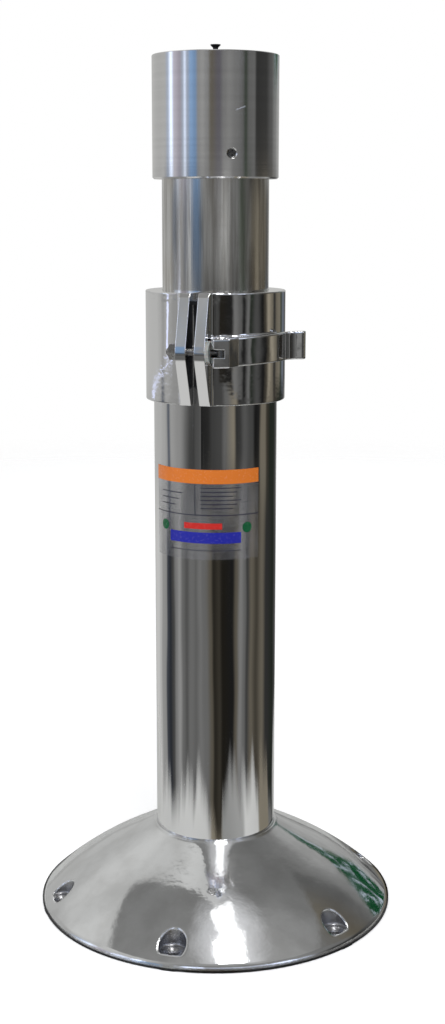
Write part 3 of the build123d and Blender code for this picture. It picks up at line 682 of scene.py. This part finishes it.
# The guides: black plastic sleeves, one in the lower post's mouth and one on the inner post's foot,
# that the inner post slides and turns on. The upper one's dark edge shows in the collar's split.
black_plastic, tree, shader, spots = new_finish("black_guide_plastic", (0.012, 0.012, 0.013), 0.0, 0.42)
shader.inputs["Specular IOR Level"].default_value = 0.4
rubbed = fade(tree, noise_value(tree, stretched(tree, spots, (1, 1, 0.1)), 220.0, 3.0), 0.45, 0.70)
set_colour(tree, shader, rubbed, (0.010, 0.010, 0.011), (0.035, 0.035, 0.036))
set_roughness(tree, shader, 0.36, (rubbed, 0.20))
add_relief(tree, shader, noise_value(tree, spots, 2500.0, 2.0), 0.00003)
dress(black_plastic, "upper_guide", "foot_guide")

# The clamp collar: cast aluminium, bored to the post, split at the front between two pointed ears
# and polished all over. The polish leaves a faint orange peel and rounds the edges a little.
collar_polish, tree, shader, spots = new_finish("polished_collar", (0.88, 0.88, 0.885), 1.0, 0.05)
soft_edges(tree, shader, 0.0006)
scuffs = place_group(tree, hairlines, Coordinates=spots, Fineness=1300.0, Density=0.45)["Mask"]
haze = fade(tree, noise_value(tree, spots, 60.0, 3.0), 0.42, 0.68)
set_roughness(tree, shader, 0.03, (haze, 0.035), (scuffs, 0.05))
add_relief(tree, shader, noise_value(tree, stretched(tree, spots, (1, 1, 0.45)), 40.0, 1.0), 0.0006)
add_relief(tree, shader, noise_value(tree, spots, 260.0, 1.0), 0.00002)
dress(collar_polish, "clamp_collar")

# Bolt, nut, washer and barrel pin: a stainless bolt through both ears, screwed into a steel barrel
# pin in the lever's head, with a hex nut at the other end and a white nylon washer under the cam.
clamp_turn, bolt_reach, bolt_height = -16.5, 0.0455, 0.345
bolt_outward, bolt_across = round_axis(1, clamp_turn, 0), round_axis(1, clamp_turn + 90, 0)
bolt_middle = round_axis(bolt_reach, clamp_turn, bolt_height)
bolt_radius, thread_pitch = 0.0021, 0.00079
nut_width, nut_thickness, ear_outside = 0.0087, 0.0046, 0.0087


def hex_nut(across_flats, thickness, bore):
    """A nut standing on z = 0 with a corner at +X, its corners chamfered at 30 degrees at both ends."""
    face_share, chamfer_slope = 0.97, 0.577
    mesh = bmesh.new()
    bmesh.ops.create_circle(mesh, segments=96, radius=bore)
    edges = mesh.edges[:]
    face_radius = across_flats / 2 * face_share
    rings = [(False, face_radius, 0), (True, None, 0), (True, None, 1), (False, face_radius, 1),
             (False, bore, 1), (False, bore, 0)]
    for hexagonal, radius, end in rings:
        raised = bmesh.ops.extrude_edge_only(mesh, edges=edges)["geom"]
        edges = [part for part in raised if isinstance(part, bmesh.types.BMEdge)]
        for corner in [part for part in raised if isinstance(part, bmesh.types.BMVert)]:
            turn = atan2(corner.co.y, corner.co.x)
            reach = across_flats / 2 / cos(turn % (pi / 3) - pi / 6) if hexagonal else radius
            chamfer = (reach - face_radius) * chamfer_slope
            corner.co = (reach * cos(turn), reach * sin(turn), abs(end * thickness - chamfer))
    bmesh.ops.remove_doubles(mesh, verts=mesh.verts, dist=1e-6)
    bmesh.ops.recalc_face_normals(mesh, faces=mesh.faces)
    return mesh


steel, tree, shader, spots = new_finish("bolt_steel", (0.56, 0.55, 0.53), 1.0, 0.25)
scuffs = place_group(tree, hairlines, Coordinates=spots, Fineness=2500.0, Density=0.6)["Mask"]
dull = fade(tree, noise_value(tree, spots, 500.0, 3.0), 0.40, 0.70)
set_colour(tree, shader, dull, (0.30, 0.30, 0.30), (0.20, 0.19, 0.18))
set_roughness(tree, shader, 0.20, (dull, 0.14), (scuffs, 0.08))
add_relief(tree, shader, noise_value(tree, spots, 1500.0, 2.0), 0.000008)
dress(steel, "barrel_pin", "foot_washer")
threaded, tree, shader, spots = new_finish("bolt_thread", (0.56, 0.55, 0.53), 1.0, 0.25)
along = math_node(tree, "MULTIPLY", dot(tree, spots, bolt_across), 2 * pi / thread_pitch)
ridges = math_node(tree, "MULTIPLY_ADD", math_node(tree, "SINE", along), 0.5, 0.5)
# Painted shade and highlight: the colour is dark in the thread's roots and light on its crests, along with
# the relief.
set_colour(tree, shader, ridges, (0.20, 0.19, 0.18), (0.62, 0.61, 0.59))
set_roughness(tree, shader, 0.24, (noise_value(tree, spots, 700.0, 2.0), 0.16))
add_relief(tree, shader, ridges, 0.00022)
dress(threaded, "clamp_bolt")
nut = hex_nut(nut_width, nut_thickness, bolt_radius)
place = Matrix.Translation(bolt_middle - bolt_across * ear_outside)
turn = Matrix((bolt_outward, Vector((0, 0, 1)), -bolt_across)).transposed().to_4x4()
bmesh.ops.transform(nut, matrix=place @ turn, verts=nut.verts)
clamp_nut = add_piece("clamp_nut_chamfered", nut, steel)
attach(clamp_nut, "pedestal")
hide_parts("clamp_nut")

nylon, tree, shader, spots = new_finish("washer_nylon", (0.80, 0.79, 0.76), 0.0, 0.38)
grubby = fade(tree, noise_value(tree, spots, 350.0, 4.0), 0.45, 0.75)
set_colour(tree, shader, grubby, (0.34, 0.35, 0.33), (0.24, 0.24, 0.22))
set_roughness(tree, shader, 0.32, (grubby, 0.20))
shader.inputs["Subsurface Weight"].default_value = 0.15
shader.inputs["Subsurface Scale"].default_value = 0.002
dress(nylon, "clamp_washer", "thrust_washer")

# The cam lever: cast and polished, with a flat-sided cam head slotted for the bolt, a curved arm
# that follows the collar and a finger tab turned outwards. The slot's faces are painted near black, as
# painted shade.
slot_across, slot_depth, slot_height = 0.0205, 0.0432, 0.00227
lever_polish, tree, shader, spots = new_finish("polished_lever", (0.88, 0.88, 0.885), 1.0, 0.05)
soft_edges(tree, shader, 0.0008)
scuffs = place_group(tree, hairlines, Coordinates=spots, Fineness=1500.0, Density=0.5)["Mask"]
haze = fade(tree, noise_value(tree, spots, 110.0, 3.0), 0.42, 0.68)
set_roughness(tree, shader, 0.035, (haze, 0.05), (scuffs, 0.05))
add_relief(tree, shader, noise_value(tree, spots, 60.0, 1.0), 0.0004)
add_relief(tree, shader, noise_value(tree, spots, 300.0, 1.0), 0.00002)
dress(lever_polish, "cam_lever")
# Painted shade: the slot's faces are coloured near black with a faint mottle, for the shade inside the cam
# head's slot.
slot_painted_shade, tree, shader, spots = new_finish("lever_slot", (0.05, 0.05, 0.05), 1.0, 0.45)
shade_mottle = noise_value(tree, spots, 800.0, 3.0)
set_colour(tree, shader, shade_mottle, (0.03, 0.03, 0.03), (0.10, 0.10, 0.095))
set_roughness(tree, shader, 0.36, (shade_mottle, 0.25))
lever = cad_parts["cam_lever"].data
lever.materials.append(slot_painted_shade)
for face in lever.polygons:
    corners = [lever.vertices[index].co for index in face.vertices]
    level = all(abs(corner.z - bolt_height) < slot_height for corner in corners)
    in_head = all(corner.dot(bolt_across) < slot_across and corner.dot(bolt_outward) > slot_depth
                  for corner in corners)
    if level and in_head:
        face.material_index = 1

# The inner post: a drawn aluminium tube with a satin finish that runs lengthwise, lightly stained
# where it has been handled. It slides and turns in the guides and carries the seat.
satin_tube, tree, shader, spots = new_finish("satin_tube", (0.80, 0.80, 0.79), 1.0, 0.28)
shader.inputs["Anisotropic"].default_value = 0.3
grain = noise_value(tree, stretched(tree, spots, (1, 1, 0.02)), 1400.0, 3.0)
broad = fade(tree, noise_value(tree, stretched(tree, spots, (1, 1, 0.05)), 260.0, 3.0), 0.38, 0.62)
stain = fade(tree, noise_value(tree, stretched(tree, spots, (1, 1, 0.5)), 60.0, 4.0), 0.50, 0.75)
scuffs = place_group(tree, hairlines, Coordinates=spots, Fineness=900.0, Density=0.45)["Mask"]
tint = blend_colours(tree, broad, (0.92, 0.92, 0.91), (0.62, 0.61, 0.59))
set_colour(tree, shader, math_node(tree, "MULTIPLY", stain, 0.35), tint, (0.55, 0.50, 0.42))
set_roughness(tree, shader, 0.09, (grain, 0.08), (stain, 0.06), (scuffs, 0.03))
add_relief(tree, shader, grain, 0.00003)
dress(satin_tube, "inner_post")

# The top sleeve: turned from aluminium tube, pressed over the inner post to bring it up to the seat
# mount's size. The lathe has left fine rings and a matt end face, and a short bright scratch runs
# above the screw.
sleeve_radius, scratch_turn, scratch_height, scratch_rise = 0.0365, 22.5, 0.479, 0.36
turned_sleeve, tree, shader, spots = new_finish("turned_sleeve", (0.86, 0.86, 0.865), 1.0, 0.2)
shader.inputs["Anisotropic"].default_value = 0.4
shader.inputs["Anisotropic Rotation"].default_value = 0.25
rings = noise_value(tree, stretched(tree, spots, (0.004, 0.004, 1)), 2600.0, 3.0)
broad = fade(tree, noise_value(tree, stretched(tree, spots, (0.02, 0.02, 1)), 300.0, 2.0), 0.3, 0.7)
scratch_run = round_axis(0.93, scratch_turn + 90, scratch_rise).normalized()
scratch = place_group(tree, nick, Coordinates=spots, Along=scratch_run, Length=0.0065, Width=0.0007,
                      Middle=round_axis(sleeve_radius, scratch_turn, scratch_height))["Mask"]
scuffs = place_group(tree, hairlines, Coordinates=spots, Fineness=1000.0, Density=0.30)["Mask"]
facing = tree.nodes.new("ShaderNodeNewGeometry").outputs["Normal"]
end_face = math_node(tree, "GREATER_THAN", dot(tree, facing, (0, 0, 1)), 0.9)
tint = blend_colours(tree, broad, (0.88, 0.88, 0.885), (0.83, 0.83, 0.835))
# Painted shade: faces that look straight up, where the lamp overhead falls, are coloured a darker grey; they
# are matt as well.
set_colour(tree, shader, end_face, tint, (0.50, 0.50, 0.50))
set_roughness(tree, shader, 0.07, (rings, 0.04), (scuffs, 0.03), (scratch, 0.2), (end_face, 0.45))
add_relief(tree, shader, rings, 0.000004)
dress(turned_sleeve, "top_sleeve")

# Screws: small countersunk cross-recess screws. Three steel ones hold the sleeve, each in a bright
# countersink, and a dark one stands proud of the top on the centre line.
screw_reach, screw_height, screw_turns = 0.0364, 0.4546, (14.5, 134.5, 254.5)
screw_steel, tree, shader, spots = new_finish("screw_steel", (0.62, 0.62, 0.61), 1.0, 0.22)
dull = fade(tree, noise_value(tree, spots, 900.0, 3.0), 0.40, 0.70)
nearest = 1.0
for degrees in screw_turns:
    apart = tree.nodes.new("ShaderNodeVectorMath")
    apart.operation = "DISTANCE"
    tree.links.new(spots, apart.inputs[0])
    apart.inputs[1].default_value = round_axis(screw_reach, degrees, screw_height)
    nearest = math_node(tree, "MINIMUM", apart.outputs["Value"], nearest)
tint = blend_colours(tree, dull, (0.20, 0.20, 0.20), (0.11, 0.11, 0.11))
set_colour(tree, shader, fade(tree, nearest, 0.0023, 0.0028), tint, (0.80, 0.80, 0.79))
set_roughness(tree, shader, 0.18, (dull, 0.15))
add_relief(tree, shader, fade(tree, nearest, 0.0020, 0.0034), 0.0010)
dress(screw_steel, "sleeve_screws")
dark_screw, tree, shader, spots = new_finish("dark_screw", (0.03, 0.03, 0.032), 0.6, 0.35)
worn = fade(tree, noise_value(tree, spots, 1200.0, 3.0), 0.55, 0.75)
set_colour(tree, shader, worn, (0.025, 0.025, 0.027), (0.12, 0.12, 0.12))
set_roughness(tree, shader, 0.30, (worn, 0.15))
dress(dark_screw, "top_screw")

# The plug: black moulded plastic in the inner post's top, which takes the top screw and bears on the
# lift strut through its washer.
plug_plastic, tree, shader, spots = new_finish("plug_plastic", (0.016, 0.016, 0.017), 0.0, 0.5)
dusty = fade(tree, noise_value(tree, spots, 130.0, 4.0), 0.45, 0.75)
set_colour(tree, shader, dusty, (0.014, 0.014, 0.015), (0.05, 0.05, 0.048))
set_roughness(tree, shader, 0.42, (dusty, 0.22))
add_relief(tree, shader, noise_value(tree, spots, 1800.0, 3.0), 0.00008)
dress(plug_plastic, "top_plug")

# The lift strut and what carries it, inside the posts: a painted steel cylinder with a chromed rod
# that stands on a plated foot plate, held by a nut and a washer in the base's hub.
foot_nut_width, foot_nut_thickness, foot_nut_bore, foot_nut_bottom = 0.013, 0.005, 0.004, 0.0054
strut_paint, tree, shader, spots = new_finish("strut_paint", (0.012, 0.012, 0.012), 0.0, 0.3)
orange_peel = noise_value(tree, spots, 700.0, 2.0)
set_colour(tree, shader, orange_peel, (0.010, 0.010, 0.010), (0.020, 0.020, 0.020))
set_roughness(tree, shader, 0.22, (noise_value(tree, spots, 90.0, 3.0), 0.16))
add_relief(tree, shader, orange_peel, 0.00003)
dress(strut_paint, "strut_cylinder", "strut_gland", "strut_piston")
rod_chrome, tree, shader, spots = new_finish("rod_chrome", (0.75, 0.76, 0.78), 1.0, 0.08)
fine_lines = noise_value(tree, stretched(tree, spots, (1, 1, 0.05)), 900.0, 3.0)
oil = fade(tree, noise_value(tree, stretched(tree, spots, (1, 1, 0.3)), 150.0, 3.0), 0.45, 0.70)
set_colour(tree, shader, oil, (0.75, 0.76, 0.78), (0.62, 0.60, 0.56))
set_roughness(tree, shader, 0.05, (fine_lines, 0.10))
dress(rod_chrome, "strut_rod")
plate_steel, tree, shader, spots = new_finish("plate_steel", (0.58, 0.56, 0.50), 1.0, 0.35)
spangle = noise_value(tree, spots, 260.0, 4.0)
set_colour(tree, shader, fade(tree, spangle, 0.35, 0.65), (0.62, 0.60, 0.55), (0.46, 0.44, 0.38))
set_roughness(tree, shader, 0.28, (spangle, 0.22))
add_relief(tree, shader, noise_value(tree, spots, 1100.0, 3.0), 0.00004)
dress(plate_steel, "foot_plate")
lock_nut = hex_nut(foot_nut_width, foot_nut_thickness, foot_nut_bore)
bmesh.ops.transform(lock_nut, matrix=Matrix.Translation((0, 0, foot_nut_bottom)), verts=lock_nut.verts)
foot_nut = add_piece("foot_nut_chamfered", lock_nut, steel)
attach(foot_nut, "pedestal")
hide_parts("foot_nut")
